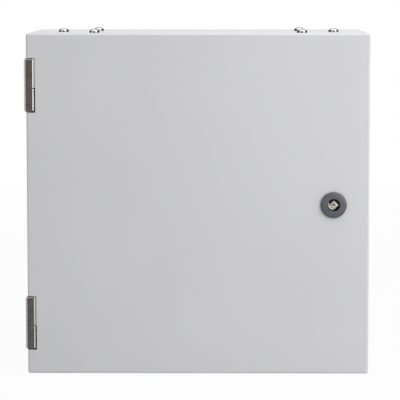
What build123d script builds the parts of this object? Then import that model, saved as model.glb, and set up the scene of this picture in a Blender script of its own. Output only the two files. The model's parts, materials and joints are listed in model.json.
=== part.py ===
from build123d import *
import os

# Square sheet-steel utility cabinet for a wall or a pole, in millimetres.
# X runs to the right seen from the front, Y towards the wall and Z up.
# The origin is the centre of the wall-fixing holes, on the rear face.
# Depths are measured forwards from that face, so a depth of d lies at Y = -d.

# Overall size
width = 400.0
height = 400.0
depth = 200.0

# Sheet and folds
shell_sheet = 1.5
shell_bend = 2.5
rear_bend = 2.2
door_sheet = 1.5
door_bend = 2.5
door_flange = 15.0
door_shoulder_gap = 2.0
door_end_gap = 0.5
shoulder_reach = 16.5
lip_height = 11.0
lip_corner = 6.0
fold_ease = 0.3

# Foam gasket in the door
gasket_width = 10.0
gasket_lip_gap = 0.3
gasket_edge_share = 0.4

# Wall-fixing holes
wall_hole_inset = 25.0
wall_hole_radius = 4.5

# Mounting plate on its four studs
plate_edge_gap = 30.0
plate_sheet = 2.5
plate_standoff = 22.0
plate_corner_cut = 25.0
plate_stud_inset = 25.0
plate_stud_radius = 4.0
plate_stud_tip = 6.0
plate_collar_radius = 7.0

# Cable-entry plate over the cut-out in the base
entry_side_gap = 55.0
entry_rear_gap = 10.5
entry_front_gap = 6.5
entry_corner = 8.0
entry_border = 25.0
entry_plate_sheet = 2.0
entry_gasket = 2.0
entry_stud_radius = 2.5
entry_stud_length = 14.0

# Roof screws, in two groups of three, and the strengthening plates under them
roof_inner_inset = 78.5
roof_outer_inset = 39.5
roof_front_setback = 25.0
roof_middle_setback = 68.0
roof_rear_setback = 115.0
roof_screw_radius = 3.0
roof_screw_length = 14.0
roof_head_radius = 6.0
roof_head_height = 4.4
roof_plate_sheet = 3.0
roof_plate_margin = 11.0
roof_plate_front_margin = 6.0
roof_plate_corner = 3.0

# Lift-off hinges
hinge_inset = 60.4
hinge_length = 62.5
hinge_width = 11.9
hinge_proud_side = 2.5
hinge_proud_front = 0.5
hinge_axis_setback = 4.0
hinge_edge = 2.4
hinge_rear_edge = 2.0
hinge_end_bevel = 1.8
hinge_split_bevel = 0.3
notch_end_gap = 0.75
notch_side_gap = 1.1
door_knuckle_length = 34.6
door_knuckle_rear = 8.0
knuckle_gap = 0.7
hinge_washer_thickness = 0.5
hinge_washer_radius = 4.0
pin_radius = 2.5
pin_lift = 20.0
pin_floor = 3.0
pin_head_room = 1.5
pin_running = 0.05
pin_chamfer = 0.6
body_leaf_sheet = 3.0
body_leaf_width = 14.0
body_leaf_screw_spread = 16.0
door_leaf_sheet = 3.0
door_leaf_width = 8.5
door_leaf_rise = 24.0
door_leaf_bend_gap = 1.2
door_leaf_stud_first = 6.5
door_leaf_stud_pitch = 11.0
hinge_screw_radius = 2.5
hinge_screw_grip = 7.0
hinge_stud_length = 9.0

# Quarter-turn lock
lock_setback = 41.8
rosette_radius = 15.25
rosette_height = 3.0
rosette_rim = 1.8
rosette_edge = 1.2
lock_seal_thickness = 1.0
lock_seal_radius = 14.0
barrel_radius = 11.0
barrel_flat = 10.0
barrel_length = 19.5
barrel_hole_gap = 0.25
well_radius = 7.25
well_depth = 11.0
post_side = 8.0
post_recess = 0.8
post_hole_radius = 1.5
post_hole_depth = 5.0
spindle_radius = 5.0
spindle_running = 0.05
spindle_flange = 2.0
spindle_flange_gap = 0.3
spindle_corner = 0.6
spindle_seat = 7.5
lock_nut_flats = 27.0
lock_nut_height = 5.0
lock_nut_turn = 0.8
cam_sheet = 3.0
cam_reach = 32.0
cam_width = 18.0
cam_tip_width = 15.0
cam_tip_corner = 3.75
cam_shoulder_gap = 0.5
cam_seat_gap = 0.05
cam_washer_radius = 7.0
cam_washer_thickness = 1.5
cam_screw_radius = 3.0
cam_screw_grip = 9.0
cam_screw_clear = 1.0

# Earth studs on the shell and on the door
earth_stud_radius = 3.0
earth_stud_length = 18.0
earth_shell_setback = 80.0
earth_shell_rise = 50.0
earth_door_inset = 50.0
earth_door_rise = 40.0
earth_door_stud_length = 14.0

# Common fastener proportions, as shares of the thread radius
thread_gap = 0.03
hole_gap = 0.25
nut_flats_share = 1.65
nut_height_share = 1.6
washer_radius_share = 2.0
washer_thickness_share = 0.4
head_radius_share = 1.9
head_height_share = 1.3
nut_corner_share = 0.93
nut_turn_share = 0.15
tip_share = 0.2

# Domed screw heads, as shares of the head's height and radius
dome_rim_share = 0.35
dome_shoulder_share = 0.6
dome_shoulder_height_share = 0.88
slot_length_share = 1.1
slot_width_share = 0.24
slot_depth_share = 0.5

# How far an edge may lie from a plane and still count as in it
plane_slack = 0.01

# Depths and edges that follow from the sizes above
door_front = depth
door_back = door_front - door_sheet
flange_tip = depth - door_flange
shoulder_front = flange_tip - door_shoulder_gap
shoulder_back = shoulder_front - shell_sheet
lip_front = shoulder_front + lip_height
door_height = height - 2 * door_end_gap
lip_outer_width = width - 2 * shoulder_reach
lip_outer_height = height - 2 * shoulder_reach
side = width / 2
roof = height / 2
wall_hole_x = side - wall_hole_inset
wall_hole_z = roof - wall_hole_inset
hinge_middle = roof - hinge_inset
hinge_left = -side - hinge_proud_side
hinge_right = hinge_left + hinge_width
hinge_x = (hinge_left + hinge_right) / 2
hinge_depth = depth - hinge_axis_setback
hinge_front = depth + hinge_proud_front
notch_edge = hinge_right + notch_side_gap
door_leaf_left = -side + door_sheet + door_leaf_bend_gap
hinge_screw_x = door_leaf_left + door_leaf_width / 2
lock_x = side - lock_setback
lock_z = 0.0
rosette_back = door_front + lock_seal_thickness
rosette_front = rosette_back + rosette_height
well_floor = rosette_front - well_depth
cam_front = shoulder_back - cam_shoulder_gap
cam_back = cam_front - cam_sheet
plate_back = plate_standoff
plate_front = plate_back + plate_sheet
plate_width = width - 2 * plate_edge_gap
plate_height = height - 2 * plate_edge_gap
entry_plate_width = width - 2 * entry_side_gap
entry_plate_back = plate_front + entry_rear_gap
entry_plate_front = shoulder_back - entry_front_gap
entry_plate_depth = entry_plate_front - entry_plate_back
entry_middle = (entry_plate_back + entry_plate_front) / 2
entry_width = entry_plate_width - 2 * entry_border
entry_depth = entry_plate_depth - 2 * entry_border
base_inside = -roof + shell_sheet
entry_plate_low = base_inside + entry_gasket
entry_plate_top = entry_plate_low + entry_plate_sheet
roof_plate_top = roof - shell_sheet
roof_plate_low = roof_plate_top - roof_plate_sheet


def prism(wide, tall, corner, back, front, x=0.0, z=0.0):
    """Rounded rectangle seen from the front, reaching between two depths."""
    outline = Plane.XZ.offset(back) * Pos(x, z) * RectangleRounded(wide, tall, corner)
    return extrude(outline, front - back)


def block(left, right, back, front, low, high):
    """Square-edged block between two X values, two depths and two heights."""
    outline = Plane.XZ.offset(back) * Pos((left + right) / 2, (low + high) / 2) * Rectangle(
        right - left, high - low
    )
    return extrude(outline, front - back)


def rod(radius, back, front, x, z):
    """Round bar along the depth."""
    return extrude(Plane.XZ.offset(back) * Pos(x, z) * Circle(radius), front - back)


def upright(radius, low, high, x, forward):
    """Round bar standing along Z."""
    return Pos(x, -forward, (low + high) / 2) * Cylinder(radius, high - low)


def edges_at(solid, axis, value):
    """Edges of a solid that lie in the plane where the axis has that value."""
    return solid.edges().filter_by_position(axis, value - plane_slack, value + plane_slack)


def hex_nut(height, flats, bore, turn):
    """Hexagon nut on the XY plane with its corners turned down at the top."""
    blank = extrude(RegularPolygon(flats / 2, 6, major_radius=False), height)
    turned = extrude(Circle(flats / 2 / nut_corner_share), height)
    turned = chamfer(edges_at(turned, Axis.Z, height), turn)
    return (blank & turned) - extrude(Circle(bore), height)


def plain_nut(thread):
    """Nut in the usual proportions for a thread of this radius."""
    flats = 2 * thread * nut_flats_share
    turn = thread * nut_turn_share
    return hex_nut(thread * nut_height_share, flats, thread + thread_gap, turn)


def plain_washer(thread):
    """Flat washer on the XY plane for a thread of this radius."""
    ring = Circle(thread * washer_radius_share) - Circle(thread + hole_gap)
    return extrude(ring, thread * washer_thickness_share)


def dome_screw(thread, length, head_radius, head_height):
    """Cross-slot screw on the XY plane: domed head above, shank below."""
    rim = head_height * dome_rim_share
    shoulder = (head_radius * dome_shoulder_share, head_height * dome_shoulder_height_share)
    profile = make_face(
        Polyline((0, 0), (head_radius, 0), (head_radius, rim))
        + ThreePointArc((head_radius, rim), shoulder, (0, head_height))
        + Line((0, head_height), (0, 0))
    )
    head = revolve(Plane.XZ * profile, Axis.Z, 360)
    slot_depth = head_height * slot_depth_share
    slot = Box(head_radius * slot_length_share, head_radius * slot_width_share, 2 * slot_depth)
    cross = Pos(0, 0, head_height) * (slot + Rot(0, 0, 90) * slot)
    shank = extrude(Circle(thread), -length)
    shank = chamfer(edges_at(shank, Axis.Z, -length), thread * tip_share)
    return head - cross + shank


def pan_screw(thread, length):
    """Dome screw in the usual proportions for a thread of this radius."""
    return dome_screw(thread, length, thread * head_radius_share, thread * head_height_share)


def stud(thread, length):
    """Welded stud that stands on the XY plane, with a chamfered tip."""
    shank = extrude(Circle(thread), length)
    return chamfer(edges_at(shank, Axis.Z, length), thread * tip_share)


def facing(direction, x, forward, z):
    """Placement that turns a part's own Z to a direction at a point of the cabinet."""
    return Plane(origin=(x, -forward, z), z_dir=direction).location


# Body shell


def shell_blank():
    """Folded and welded box with its forward lip, before any hole."""
    outside = prism(width, height, shell_bend, 0, shoulder_front)
    outside = fillet(edges_at(outside, Axis.Y, 0), rear_bend)
    outside = fillet(edges_at(outside, Axis.Y, -shoulder_front), shell_bend - fold_ease)
    inner_bend = shell_bend - shell_sheet
    inside = prism(
        width - 2 * shell_sheet, height - 2 * shell_sheet, inner_bend, shell_sheet, shoulder_back
    )
    inside = fillet(edges_at(inside, Axis.Y, -shell_sheet), rear_bend - shell_sheet)
    lip = prism(lip_outer_width, lip_outer_height, lip_corner, shoulder_back, lip_front)
    mouth = prism(
        lip_outer_width - 2 * shell_sheet,
        lip_outer_height - 2 * shell_sheet,
        lip_corner - shell_sheet,
        shell_sheet,
        lip_front,
    )
    return outside - inside + lip - mouth


def body_shell():
    """Shell with its fixing, hinge, roof and cable-entry openings."""
    shell = shell_blank()
    for x in (-wall_hole_x, wall_hole_x):
        for z in (-wall_hole_z, wall_hole_z):
            shell -= rod(wall_hole_radius, 0, shell_sheet, x, z)
    for x, forward in roof_points():
        shell -= upright(roof_screw_radius + hole_gap, roof - shell_sheet, roof, x, forward)
    for z, _ in shell_hinge_screw_points():
        shell -= rod(hinge_screw_radius + hole_gap, shoulder_back, shoulder_front, hinge_screw_x, z)
    cut = RectangleRounded(entry_width, entry_depth, entry_corner)
    shell -= Pos(0, -entry_middle, -roof) * extrude(cut, shell_sheet)
    return shell


# Cable entry in the base


def entry_points():
    """Plan positions of the six studs round the cable-entry cut-out."""
    across = (entry_width + entry_border) / 2
    forward = (entry_depth + entry_border) / 2
    return [(x, entry_middle + d) for x in (-across, 0, across) for d in (-forward, forward)]


def entry_sheet(thickness, level, opening):
    """Plate or gasket over the cut-out, pierced for the studs."""
    blank = RectangleRounded(entry_plate_width, entry_plate_depth, entry_corner)
    if opening:
        blank -= RectangleRounded(entry_width, entry_depth, entry_corner)
    sheet = Pos(0, -entry_middle, level) * extrude(blank, thickness)
    for x, forward in entry_points():
        sheet -= upright(entry_stud_radius + hole_gap, level, level + thickness, x, forward)
    return sheet


def entry_studs():
    return [facing((0, 0, 1), x, d, base_inside) * stud(entry_stud_radius, entry_stud_length)
            for x, d in entry_points()]


def entry_washers():
    return [facing((0, 0, 1), x, d, entry_plate_top) * plain_washer(entry_stud_radius)
            for x, d in entry_points()]


def entry_nuts():
    level = entry_plate_top + entry_stud_radius * washer_thickness_share
    return [facing((0, 0, 1), x, d, level) * plain_nut(entry_stud_radius) for x, d in entry_points()]


# Mounting plate


def plate_points():
    """Positions of the four mounting-plate studs on the rear wall."""
    across = plate_width / 2 - plate_stud_inset
    up = plate_height / 2 - plate_stud_inset
    return [(x, z) for x in (-across, across) for z in (-up, up)]


def mounting_plate():
    """Galvanised plate with cut corners that leave the wall holes in reach."""
    outline = Rectangle(plate_width, plate_height)
    outline = chamfer(outline.vertices(), plate_corner_cut)
    plate = extrude(Plane.XZ.offset(plate_back) * outline, plate_sheet)
    for x, z in plate_points():
        plate -= rod(plate_stud_radius + hole_gap, plate_back, plate_front, x, z)
    return plate


def plate_studs():
    """Studs with a collar that the plate stands on."""
    studs = []
    length = plate_front + plate_stud_radius * (washer_thickness_share + nut_height_share)
    length += plate_stud_tip - shell_sheet
    for x, z in plate_points():
        collar = extrude(Circle(plate_collar_radius), plate_back - shell_sheet)
        studs.append(facing((0, -1, 0), x, shell_sheet, z) * (stud(plate_stud_radius, length) + collar))
    return studs


def plate_washers():
    return [facing((0, -1, 0), x, plate_front, z) * plain_washer(plate_stud_radius)
            for x, z in plate_points()]


def plate_nuts():
    level = plate_front + plate_stud_radius * washer_thickness_share
    return [facing((0, -1, 0), x, level, z) * plain_nut(plate_stud_radius) for x, z in plate_points()]


# Roof screws


def roof_group(sign):
    """Plan positions of the three roof screws on one side."""
    inner = sign * (side - roof_inner_inset)
    outer = sign * (side - roof_outer_inset)
    return [
        (inner, depth - roof_front_setback),
        (outer, depth - roof_middle_setback),
        (inner, depth - roof_rear_setback),
    ]


def roof_points():
    """Plan positions of all six roof screws."""
    return roof_group(-1) + roof_group(1)


def roof_screws():
    return [facing((0, 0, 1), x, d, roof)
            * dome_screw(roof_screw_radius, roof_screw_length, roof_head_radius, roof_head_height)
            for x, d in roof_points()]


def roof_plates():
    """Two strengthening plates held up under the roof by the screws."""
    plates = []
    front = depth - roof_front_setback + roof_plate_front_margin
    back = depth - roof_rear_setback - roof_plate_margin
    inner = side - roof_inner_inset - roof_plate_margin
    outer = side - roof_outer_inset + roof_plate_margin
    for sign in (-1, 1):
        outline = RectangleRounded(outer - inner, front - back, roof_plate_corner)
        middle = sign * (inner + outer) / 2
        plate = Pos(middle, -(front + back) / 2, roof_plate_low) * extrude(outline, roof_plate_sheet)
        for x, d in roof_group(sign):
            plate -= upright(roof_screw_radius + hole_gap, roof_plate_low, roof_plate_top, x, d)
        plates.append(plate)
    return plates


def roof_nuts():
    return [facing((0, 0, -1), x, d, roof_plate_low) * plain_nut(roof_screw_radius)
            for x, d in roof_points()]


# Lift-off hinges


def hinge_levels(middle):
    """Heights of a hinge: its foot, its top and the faces of its knuckles."""
    foot = middle - hinge_length / 2
    top = middle + hinge_length / 2
    door_low = top - door_knuckle_length
    return foot, top, door_low, door_low - knuckle_gap


def leaf_screws(middle):
    """Height and reach of a hinge's two screws: one in the knuckle, one in the leaf."""
    return [
        (middle - body_leaf_screw_spread, hinge_screw_grip),
        (middle + body_leaf_screw_spread, body_leaf_sheet),
    ]


def shell_hinge_screw_points():
    """Height and reach of all four screws that hold the shell halves of the hinges."""
    return leaf_screws(-hinge_middle) + leaf_screws(hinge_middle)


def door_stud_heights():
    """Heights of the four door studs that carry the door halves of the hinges."""
    first = hinge_length / 2 + door_leaf_stud_first
    return [middle + first + step for middle in (-hinge_middle, hinge_middle)
            for step in (0, door_leaf_stud_pitch)]


def knuckle(rear, low, high, low_bevel, high_bevel):
    """Upright hinge block with well-rounded edges and a bevel at each end."""
    outline = Pos(hinge_x, -(rear + hinge_front) / 2) * Rectangle(hinge_width, hinge_front - rear)
    front_corners = outline.vertices().group_by(Axis.Y)[0]
    outline = fillet(front_corners, hinge_edge)
    rear_corners = outline.vertices().group_by(Axis.Y)[-1]
    outline = fillet(rear_corners, hinge_rear_edge)
    solid = Pos(0, 0, low) * extrude(outline, high - low)
    solid = chamfer(edges_at(solid, Axis.Z, low), low_bevel)
    return chamfer(edges_at(solid, Axis.Z, high), high_bevel)


def hinge_shell_half(middle):
    """Lower knuckle with the leaf that lies on the shell's front shoulder."""
    foot, top, _, body_high = hinge_levels(middle)
    block_part = knuckle(shoulder_front, foot, body_high, hinge_end_bevel, hinge_split_bevel)
    leaf_right = -side + body_leaf_width
    leaf = block(-side, leaf_right, shoulder_front, shoulder_front + body_leaf_sheet, foot, top)
    part = block_part + leaf
    part -= upright(pin_radius, foot + pin_floor, body_high, hinge_x, hinge_depth)
    for z, reach in leaf_screws(middle):
        thread = hinge_screw_radius + thread_gap
        part -= rod(thread, shoulder_front, shoulder_front + reach, hinge_screw_x, z)
    return part


def hinge_door_half(middle):
    """Upper knuckle with the leaf that runs up behind the door sheet."""
    _, top, door_low, _ = hinge_levels(middle)
    rear = hinge_depth - door_knuckle_rear
    block_part = knuckle(rear, door_low, top, hinge_split_bevel, hinge_end_bevel)
    leaf_right = door_leaf_left + door_leaf_width
    leaf_back = door_back - door_leaf_sheet
    leaf = block(door_leaf_left, leaf_right, leaf_back, door_back, door_low, top + door_leaf_rise)
    part = block_part + leaf
    bore_top = door_low + pin_lift + pin_head_room
    part -= upright(pin_radius + pin_running, door_low, bore_top, hinge_x, hinge_depth)
    for step in (0, door_leaf_stud_pitch):
        z = middle + hinge_length / 2 + door_leaf_stud_first + step
        part -= rod(
            hinge_screw_radius + hole_gap, door_back - door_leaf_sheet, door_back, hinge_screw_x, z
        )
    return part


def hinge_pin(middle):
    """Pin fast in the lower knuckle, with the upper knuckle lifting off it."""
    foot, _, door_low, _ = hinge_levels(middle)
    pin = upright(pin_radius, foot + pin_floor, door_low + pin_lift, hinge_x, hinge_depth)
    return chamfer(edges_at(pin, Axis.Z, door_low + pin_lift), pin_chamfer)


def hinge_washers():
    """Thin washers that the upper knuckles turn on."""
    washers = []
    for middle in (-hinge_middle, hinge_middle):
        level = hinge_levels(middle)[3]
        ring = Circle(hinge_washer_radius) - Circle(pin_radius + pin_running)
        washers.append(Pos(hinge_x, -hinge_depth, level) * extrude(ring, hinge_washer_thickness))
    return washers


def hinge_screws():
    """Screws put in from inside, through the shoulder into the hinge leaves."""
    screws = []
    for z, reach in shell_hinge_screw_points():
        screw = pan_screw(hinge_screw_radius, shell_sheet + reach)
        screws.append(facing((0, 1, 0), hinge_screw_x, shoulder_back, z) * screw)
    return screws


def door_hinge_studs():
    return [facing((0, 1, 0), hinge_screw_x, door_back, z) * stud(hinge_screw_radius, hinge_stud_length)
            for z in door_stud_heights()]


def door_hinge_nuts():
    level = door_back - door_leaf_sheet
    return [facing((0, 1, 0), hinge_screw_x, level, z) * plain_nut(hinge_screw_radius)
            for z in door_stud_heights()]


# Door


def door_panel():
    """Folded pan with rounded edges, notched for the hinges and bored for the lock."""
    outside = prism(width, door_height, door_bend, flange_tip, door_front)
    outside = fillet(edges_at(outside, Axis.Y, -door_front), door_bend - fold_ease)
    inner_bend = door_bend - door_sheet
    inside = prism(
        width - 2 * door_sheet, door_height - 2 * door_sheet, inner_bend, flange_tip, door_back
    )
    inside = fillet(edges_at(inside, Axis.Y, -door_back), inner_bend - fold_ease)
    panel = outside - inside
    reach = hinge_length / 2 + notch_end_gap
    for middle in (-hinge_middle, hinge_middle):
        panel -= block(-side, notch_edge, flange_tip, door_front, middle - reach, middle + reach)
    return panel - lock_barrel_outline(barrel_hole_gap, door_back, door_front)


def door_gasket():
    """Foamed ring inside the door that the shell's lip presses on."""
    middle_width = lip_outer_width - shell_sheet
    middle_height = lip_outer_height - shell_sheet
    corner = lip_corner + gasket_width / 2
    base = lip_front + gasket_lip_gap
    outer = prism(middle_width + gasket_width, middle_height + gasket_width, corner, base, door_back)
    inner = prism(
        middle_width - gasket_width, middle_height - gasket_width, corner - gasket_width, base, door_back
    )
    ring = outer - inner
    return chamfer(edges_at(ring, Axis.Y, -base), (door_back - base) * gasket_edge_share)


# Lock


def lock_barrel_outline(gap, back, front):
    """Round barrel with two flats, as the barrel and as the hole it fits."""
    flats = Rectangle(2 * (barrel_radius + gap), 2 * (barrel_flat + gap))
    outline = Plane.XZ.offset(back) * Pos(lock_x, lock_z) * (Circle(barrel_radius + gap) & flats)
    return extrude(outline, front - back)


def rosette_disc():
    """Disc with an upright rim, a rounded shoulder and a face that rises towards the well."""
    profile = make_face(Polyline(
        (0, 0), (rosette_radius, 0), (rosette_radius, rosette_rim),
        (well_radius, rosette_height), (0, rosette_height),
        close=True,
    ))
    shoulder = profile.vertices().group_by(Axis.X)[-1].sort_by(Axis.Y)[-1]
    return revolve(Plane.XZ * fillet(shoulder, rosette_edge), Axis.Z, 360)


def lock_housing():
    """Rosette and threaded barrel in one casting, with the key well in its middle."""
    rosette = facing((0, -1, 0), lock_x, rosette_back, lock_z) * rosette_disc()
    barrel_back = rosette_back - barrel_length
    housing = rosette + lock_barrel_outline(0, barrel_back, rosette_back)
    housing -= rod(well_radius, well_floor, rosette_front, lock_x, lock_z)
    bore = rod(spindle_radius + spindle_running, barrel_back, well_floor, lock_x, lock_z)
    return housing - bore


def lock_seal():
    """Rubber ring between the rosette and the door."""
    seal = rod(lock_seal_radius, door_front, rosette_back, lock_x, lock_z)
    return seal - rod(barrel_radius + barrel_hole_gap, door_front, rosette_back, lock_x, lock_z)


def lock_nut():
    """Large thin hexagon nut behind the door."""
    nut = hex_nut(lock_nut_height, lock_nut_flats, barrel_radius + thread_gap, lock_nut_turn)
    return facing((0, 1, 0), lock_x, door_back, lock_z) * nut


def turned_square(size, corner, back, front):
    """Square bar along the lock's axis, standing on one corner."""
    outline = Rot(0, 0, 45) * RectangleRounded(size, size, corner)
    return extrude(Plane.XZ.offset(back) * Pos(lock_x, lock_z) * outline, front - back)


def lock_spindle():
    """Spindle with the square key post in front and the cam's square seat behind."""
    flange_front = well_floor + spindle_flange_gap + spindle_flange
    post_front = rosette_front - post_recess
    barrel_back = rosette_back - barrel_length
    spindle = rod(well_radius - spindle_flange_gap, well_floor + spindle_flange_gap, flange_front,
                  lock_x, lock_z)
    spindle += turned_square(post_side, spindle_corner, flange_front, post_front)
    spindle += rod(spindle_radius, cam_front, well_floor + spindle_flange_gap, lock_x, lock_z)
    half_seat = spindle_seat / 2
    spindle += block(
        lock_x - half_seat, lock_x + half_seat, cam_back, cam_front, lock_z - half_seat, lock_z + half_seat
    )
    spindle -= rod(post_hole_radius, post_front - post_hole_depth, post_front, lock_x, lock_z)
    return spindle - rod(cam_screw_radius + thread_gap, cam_back, cam_back + cam_screw_grip,
                         lock_x, lock_z)


def lock_cam():
    """Flat cam that hangs down when open and hooks behind the shoulder when shut."""
    hub = Circle(cam_width / 2)
    arm = make_face(Polyline(
        (-cam_width / 2, 0), (cam_width / 2, 0),
        (cam_tip_width / 2, -cam_reach), (-cam_tip_width / 2, -cam_reach),
        close=True,
    ))
    arm = fillet(arm.vertices().group_by(Axis.Y)[0], cam_tip_corner)
    hole_side = spindle_seat + 2 * cam_seat_gap
    outline = hub + arm - Rectangle(hole_side, hole_side)
    return extrude(Plane.XZ.offset(cam_back) * Pos(lock_x, lock_z) * outline, cam_sheet)


def cam_washer():
    """Washer that clamps the cam on the spindle."""
    ring = Circle(cam_washer_radius) - Circle(cam_screw_radius + hole_gap)
    return facing((0, 1, 0), lock_x, cam_back, lock_z) * extrude(ring, cam_washer_thickness)


def cam_screw():
    """Screw in the end of the spindle."""
    screw = pan_screw(cam_screw_radius, cam_washer_thickness + cam_screw_grip - cam_screw_clear)
    return facing((0, 1, 0), lock_x, cam_back - cam_washer_thickness, lock_z) * screw


# Earth studs


def earth_set(place, length):
    """Stud, washer and nut at one placement."""
    washer_top = earth_stud_radius * washer_thickness_share
    return (
        place * stud(earth_stud_radius, length),
        place * plain_washer(earth_stud_radius),
        place * Pos(0, 0, washer_top) * plain_nut(earth_stud_radius),
    )


# Writing the pieces


def write(name, *solids):
    """Write one piece, or one group of like pieces, under its own name."""
    shape = solids[0] if len(solids) == 1 else Compound(children=list(solids))
    export_step(shape, os.path.join("parts", name + ".step"))


def main():
    os.makedirs("parts", exist_ok=True)
    write("body_shell", body_shell())
    write("entry_gasket", entry_sheet(entry_gasket, base_inside, True))
    write("entry_plate", entry_sheet(entry_plate_sheet, entry_plate_low, False))
    write("entry_studs", *entry_studs())
    write("entry_washers", *entry_washers())
    write("entry_nuts", *entry_nuts())
    write("mounting_plate", mounting_plate())
    write("plate_studs", *plate_studs())
    write("plate_washers", *plate_washers())
    write("plate_nuts", *plate_nuts())
    write("roof_screws", *roof_screws())
    write("roof_plates", *roof_plates())
    write("roof_nuts", *roof_nuts())
    write("upper_hinge_shell_half", hinge_shell_half(hinge_middle))
    write("lower_hinge_shell_half", hinge_shell_half(-hinge_middle))
    write("upper_hinge_pin", hinge_pin(hinge_middle))
    write("lower_hinge_pin", hinge_pin(-hinge_middle))
    write("hinge_washers", *hinge_washers())
    write("hinge_screws", *hinge_screws())
    write("door_panel", door_panel())
    write("door_gasket", door_gasket())
    write("upper_hinge_door_half", hinge_door_half(hinge_middle))
    write("lower_hinge_door_half", hinge_door_half(-hinge_middle))
    write("door_hinge_studs", *door_hinge_studs())
    write("door_hinge_nuts", *door_hinge_nuts())
    write("lock_housing", lock_housing())
    write("lock_seal", lock_seal())
    write("lock_nut", lock_nut())
    write("lock_spindle", lock_spindle())
    write("lock_cam", lock_cam())
    write("cam_washer", cam_washer())
    write("cam_screw", cam_screw())
    shell_x = -side + shell_sheet
    shell_place = facing((1, 0, 0), shell_x, depth - earth_shell_setback, -roof + earth_shell_rise)
    shell_stud, shell_washer, shell_nut = earth_set(shell_place, earth_stud_length)
    write("shell_earth_stud", shell_stud)
    write("shell_earth_washer", shell_washer)
    write("shell_earth_nut", shell_nut)
    door_place = facing((0, 1, 0), -side + earth_door_inset, door_back, -roof + earth_door_rise)
    door_stud, door_washer, door_nut = earth_set(door_place, earth_door_stud_length)
    write("door_earth_stud", door_stud)
    write("door_earth_washer", door_washer)
    write("door_earth_nut", door_nut)


main()
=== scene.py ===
"""Looks of the square steel utility cabinet: its finishes, its fasteners, its lock face and its stage."""

import json
import math

import bmesh
import bpy
from bpy.props import FloatProperty, FloatVectorProperty, PointerProperty, StringProperty
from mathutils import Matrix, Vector


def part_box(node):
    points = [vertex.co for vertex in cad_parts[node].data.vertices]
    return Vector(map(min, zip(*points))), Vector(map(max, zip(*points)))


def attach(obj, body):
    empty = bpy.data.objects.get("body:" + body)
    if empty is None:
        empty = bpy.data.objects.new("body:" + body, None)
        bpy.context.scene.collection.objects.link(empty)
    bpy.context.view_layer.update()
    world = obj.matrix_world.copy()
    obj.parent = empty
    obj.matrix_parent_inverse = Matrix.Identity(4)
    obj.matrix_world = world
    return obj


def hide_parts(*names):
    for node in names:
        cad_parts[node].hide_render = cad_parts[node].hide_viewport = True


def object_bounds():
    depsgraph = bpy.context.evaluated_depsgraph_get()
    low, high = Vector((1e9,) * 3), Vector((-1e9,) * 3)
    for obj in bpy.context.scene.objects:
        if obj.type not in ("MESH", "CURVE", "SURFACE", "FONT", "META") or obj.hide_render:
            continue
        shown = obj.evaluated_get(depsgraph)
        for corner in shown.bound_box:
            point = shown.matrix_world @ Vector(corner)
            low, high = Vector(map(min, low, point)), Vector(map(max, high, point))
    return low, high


bl_info = {
    "name": "Utility cabinet looks",
    "version": (1, 0, 0),
    "blender": (4, 5, 0),
    "location": "View3D > Sidebar > Cabinet",
    "description": "Dresses the square sheet-steel cabinet with its real finishes and small hardware",
    "category": "Object",
}

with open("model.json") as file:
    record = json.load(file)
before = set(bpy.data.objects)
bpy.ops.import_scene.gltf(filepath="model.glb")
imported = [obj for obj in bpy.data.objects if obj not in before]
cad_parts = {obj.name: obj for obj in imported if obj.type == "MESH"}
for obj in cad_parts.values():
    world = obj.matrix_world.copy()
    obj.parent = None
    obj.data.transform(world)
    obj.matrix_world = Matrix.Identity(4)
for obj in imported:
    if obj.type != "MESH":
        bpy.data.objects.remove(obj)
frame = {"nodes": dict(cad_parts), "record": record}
NODES = frame["nodes"]
cad_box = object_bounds()

MM = 0.001
SAME_PLACE = 0.001 * MM
SHARP_FOR_ROUNDING = math.radians(40)
SHARP_FOR_SHADING = math.radians(35)
WHITE = (1.0, 1.0, 1.0, 1.0)

# Directions in the cabinet's frame
UP = (0, 0, 1)
RIGHT = (1, 0, 0)
FRONT = (0, -1, 0)
REAR = (0, 1, 0)

# Metric threads: radius and pitch in mm, and the thread's form as shares of the pitch
M5 = (2.5, 0.8)
M6 = (3.0, 1.0)
M8 = (4.0, 1.25)
BARREL_THREAD = (11.0, 1.5)
THREAD_DEPTH = 0.6
CREST_START = 0.40
CREST_END = 0.55

# Pan heads of the inner screws: radius and height in mm
HINGE_SCREW_HEAD = (4.75, 3.25)
CAM_SCREW_HEAD = (5.7, 3.9)

# Radius of the plate studs' collars in mm
COLLAR_RADIUS = 7.0

# Soft boxes: the setting that holds the power, then the place and the side in metres; all face one point
SOFT_BOXES = (
    ("key", (1.25, -1.3, 0.55), 2.0),
    ("fill", (-2.2, -0.45, 0.5), 1.2),
    ("side", (2.2, -0.5, 0.4), 1.4),
    ("top", (0.3, -0.35, 2.35), 2.2),
)
AIM = (0.0, -0.15, 0.0)


# Colour and material helpers


def linear(colour):
    """Turn an sRGB hex colour such as #C8C9CC into linear light with an alpha of one."""
    parts = [int(colour[i : i + 2], 16) / 255 for i in (1, 3, 5)]
    return [p / 12.92 if p <= 0.04045 else ((p + 0.055) / 1.055) ** 2.4 for p in parts] + [1.0]


def add_node(tree, kind, values=None, stops=()):
    """Add one shader node and give its outputs, from its options, inputs and links.

    A value that is another node's output is linked. Stops are a ramp's positions and hex colours.
    """
    node = tree.nodes.new(f"ShaderNode{kind}")
    for name, value in (values or {}).items():
        if isinstance(value, bpy.types.NodeSocket):
            tree.links.new(value, node.inputs[name])
        elif isinstance(name, int) or name in node.inputs:
            node.inputs[name].default_value = value
        else:
            setattr(node, name, value)
    if stops:
        elements = node.color_ramp.elements
        while len(elements) < len(stops):
            elements.new(0.5)
        for element, (position, colour) in zip(elements, stops):
            element.position = position
            element.color = linear(colour)
    return node.outputs


def clear_tree(owner):
    """Switch a material or a world to nodes, and give its emptied tree."""
    owner.use_nodes = True
    owner.node_tree.nodes.clear()
    return owner.node_tree


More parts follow.
